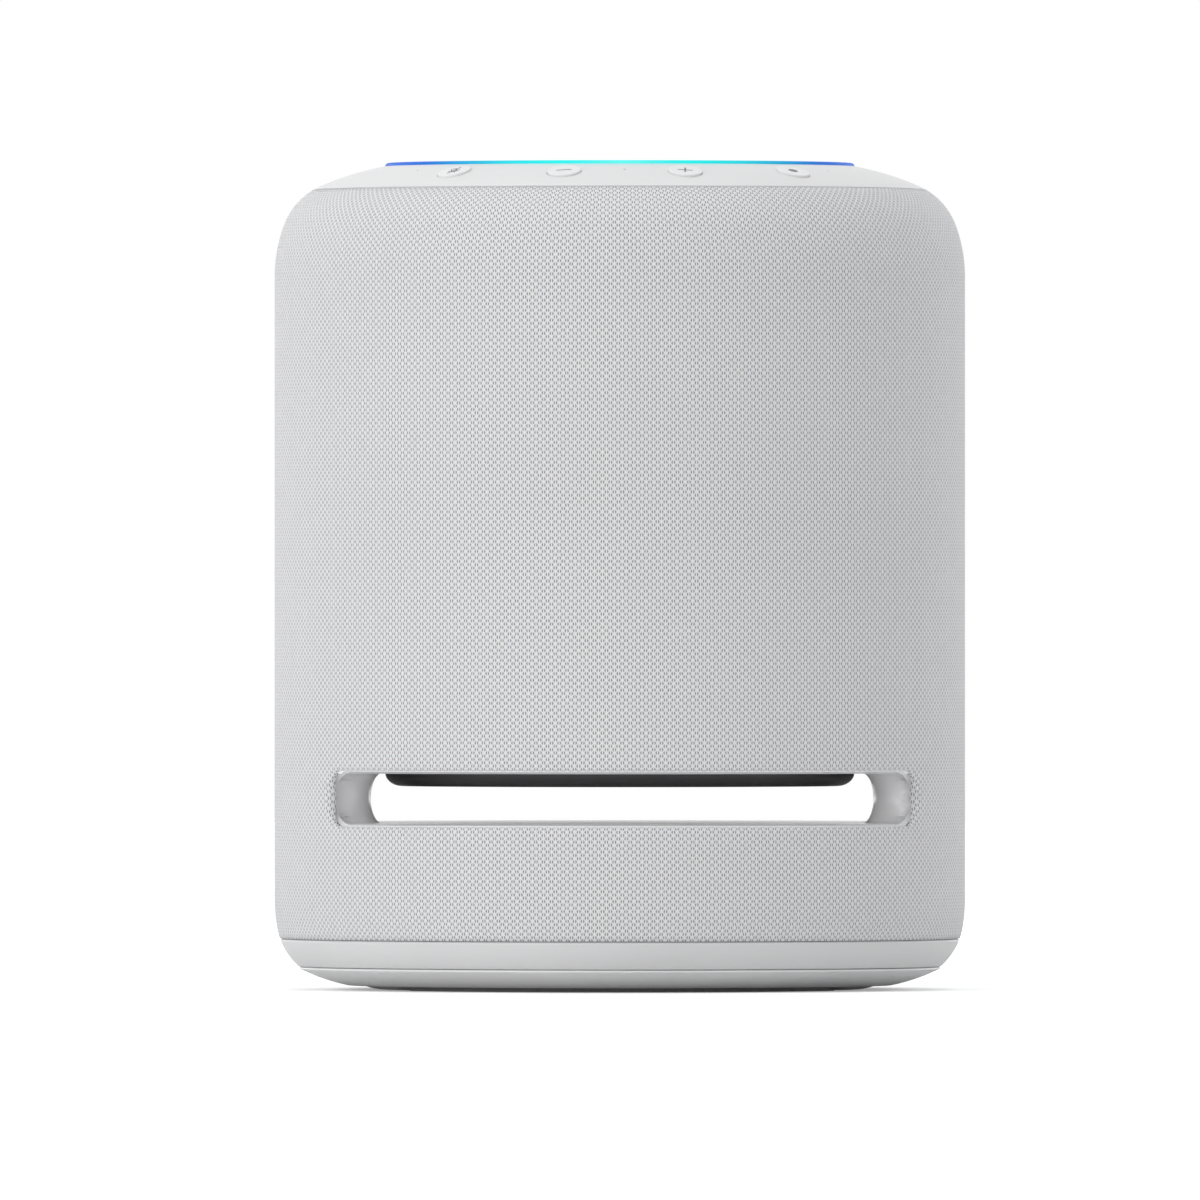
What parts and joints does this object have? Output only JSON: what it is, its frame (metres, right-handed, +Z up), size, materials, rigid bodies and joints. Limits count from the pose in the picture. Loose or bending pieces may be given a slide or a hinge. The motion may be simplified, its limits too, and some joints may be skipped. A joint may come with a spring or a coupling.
{
  "type": "smart speaker",
  "caption": "Cloth-covered cylindrical smart speaker with a slot through its foot, light ring, push buttons, inner drivers and rear sockets.",
  "frame": {"origin": "on the floor, under the axis of the cylinder, at the bottom of the rubber feet", "axes": "+Z up along the axis, -Y the front with the buttons, +X to the right seen from the front"},
  "size_m": [0.172, 0.172, 0.206],
  "materials": {
    "cloth": "knitted mesh",
    "case_plastic": "fine satin",
    "inner_plastic": "satin",
    "dark_plastic": "satin",
    "foot_rubber": "matt",
    "ring_plastic": "clear, lit from below",
    "board": "solder mask",
    "component": "moulded",
    "lamp": "clear",
    "magnet_steel": "zinc plated",
    "basket_steel": "powder coat",
    "paper_cone": "pressed paper",
    "surround_rubber": "smooth",
    "coil": "enamelled copper",
    "dome": "coated silk",
    "foam": "closed cell foam",
    "screw_steel": "zinc plated",
    "contact": "plated",
    "wire_jacket": "smooth"
  },
  "bodies": {
    "housing": {"audio_jack": "dark_plastic", "base_plate": "case_plastic", "base_ring": "case_plastic", "button_switches": "component", "case_screws": "screw_steel", "driver_gaskets": "foam", "driver_screws": "screw_steel", "enclosure_body": "inner_plastic", "fabric_sleeve": "cloth", "foot_pads": "foot_rubber", "left_mid_basket": "basket_steel", "left_mid_motor": "magnet_steel", "light_ring": "ring_plastic", "lower_grille_frame": "inner_plastic", "main_board": "board", "main_board_parts": "component", "microphones": "component", "port_panel": "case_plastic", "power_board": "board", "power_inlet": "dark_plastic", "power_parts": "component", "right_mid_basket": "basket_steel", "right_mid_motor": "magnet_steel", "ring_leds": "lamp", "service_port": "contact", "slot_liner": "case_plastic", "top_board": "board", "top_cap": "case_plastic", "top_grille": "inner_plastic", "top_grille_cloth": "cloth", "top_mid_basket": "basket_steel", "top_mid_motor": "magnet_steel", "tweeter_faceplate": "dark_plastic", "tweeter_motor": "magnet_steel", "upper_grille_frame": "inner_plastic", "wire_harness": "wire_jacket", "woofer_baffle": "inner_plastic", "woofer_basket": "basket_steel", "woofer_cover": "dark_plastic", "woofer_motor": "magnet_steel"},
    "mic_off_key": {"mic_off_button": "case_plastic", "mic_off_plunger": "dark_plastic"},
    "volume_down_key": {"volume_down_button": "case_plastic", "volume_down_plunger": "dark_plastic"},
    "volume_up_key": {"volume_up_button": "case_plastic", "volume_up_plunger": "dark_plastic"},
    "action_key": {"action_button": "case_plastic", "action_plunger": "dark_plastic"},
    "woofer_diaphragm": {"woofer_cone": "paper_cone", "woofer_voice_coil": "coil", "woofer_surround": "surround_rubber", "woofer_spider": "dome"},
    "left_mid_diaphragm": {"left_mid_cone": "paper_cone", "left_mid_surround": "surround_rubber"},
    "right_mid_diaphragm": {"right_mid_cone": "paper_cone", "right_mid_surround": "surround_rubber"},
    "top_mid_diaphragm": {"top_mid_cone": "paper_cone", "top_mid_surround": "surround_rubber"},
    "tweeter_diaphragm": {"tweeter_dome": "dome"}
  },
  "joints": [
    {"name": "mic_off_press", "type": "slide", "parent": "housing", "child": "mic_off_key", "axis": [0.1867, 0.2341, -0.9541], "range_m": [0, 0.0005], "stiffness_N_per_m": 600},
    {"name": "volume_down_press", "type": "slide", "parent": "housing", "child": "volume_down_key", "axis": [0.0666, 0.292, -0.9541], "range_m": [0, 0.0005], "stiffness_N_per_m": 600},
    {"name": "volume_up_press", "type": "slide", "parent": "housing", "child": "volume_up_key", "axis": [-0.0666, 0.292, -0.9541], "range_m": [0, 0.0005], "stiffness_N_per_m": 600},
    {"name": "action_press", "type": "slide", "parent": "housing", "child": "action_key", "axis": [-0.1867, 0.2341, -0.9541], "range_m": [0, 0.0005], "stiffness_N_per_m": 600},
    {"name": "woofer_stroke", "type": "slide", "parent": "housing", "child": "woofer_diaphragm", "axis": [0, 0, -1], "range_m": [-0.004, 0.004], "stiffness_N_per_m": 1500, "deforming": ["woofer_surround", "woofer_spider"]},
    {"name": "left_mid_stroke", "type": "slide", "parent": "housing", "child": "left_mid_diaphragm", "axis": [-1, 0, 0], "range_m": [-0.0015, 0.0015], "stiffness_N_per_m": 1200, "deforming": ["left_mid_surround"]},
    {"name": "right_mid_stroke", "type": "slide", "parent": "housing", "child": "right_mid_diaphragm", "axis": [1, 0, 0], "range_m": [-0.0015, 0.0015], "stiffness_N_per_m": 1200, "deforming": ["right_mid_surround"]},
    {"name": "top_mid_stroke", "type": "slide", "parent": "housing", "child": "top_mid_diaphragm", "axis": [0, 0, 1], "range_m": [-0.0015, 0.0015], "stiffness_N_per_m": 1200, "deforming": ["top_mid_surround"]},
    {"name": "tweeter_stroke", "type": "slide", "parent": "housing", "child": "tweeter_diaphragm", "axis": [0, -1, 0], "range_m": [-0.0003, 0.0003], "stiffness_N_per_m": 1000}
  ]
}
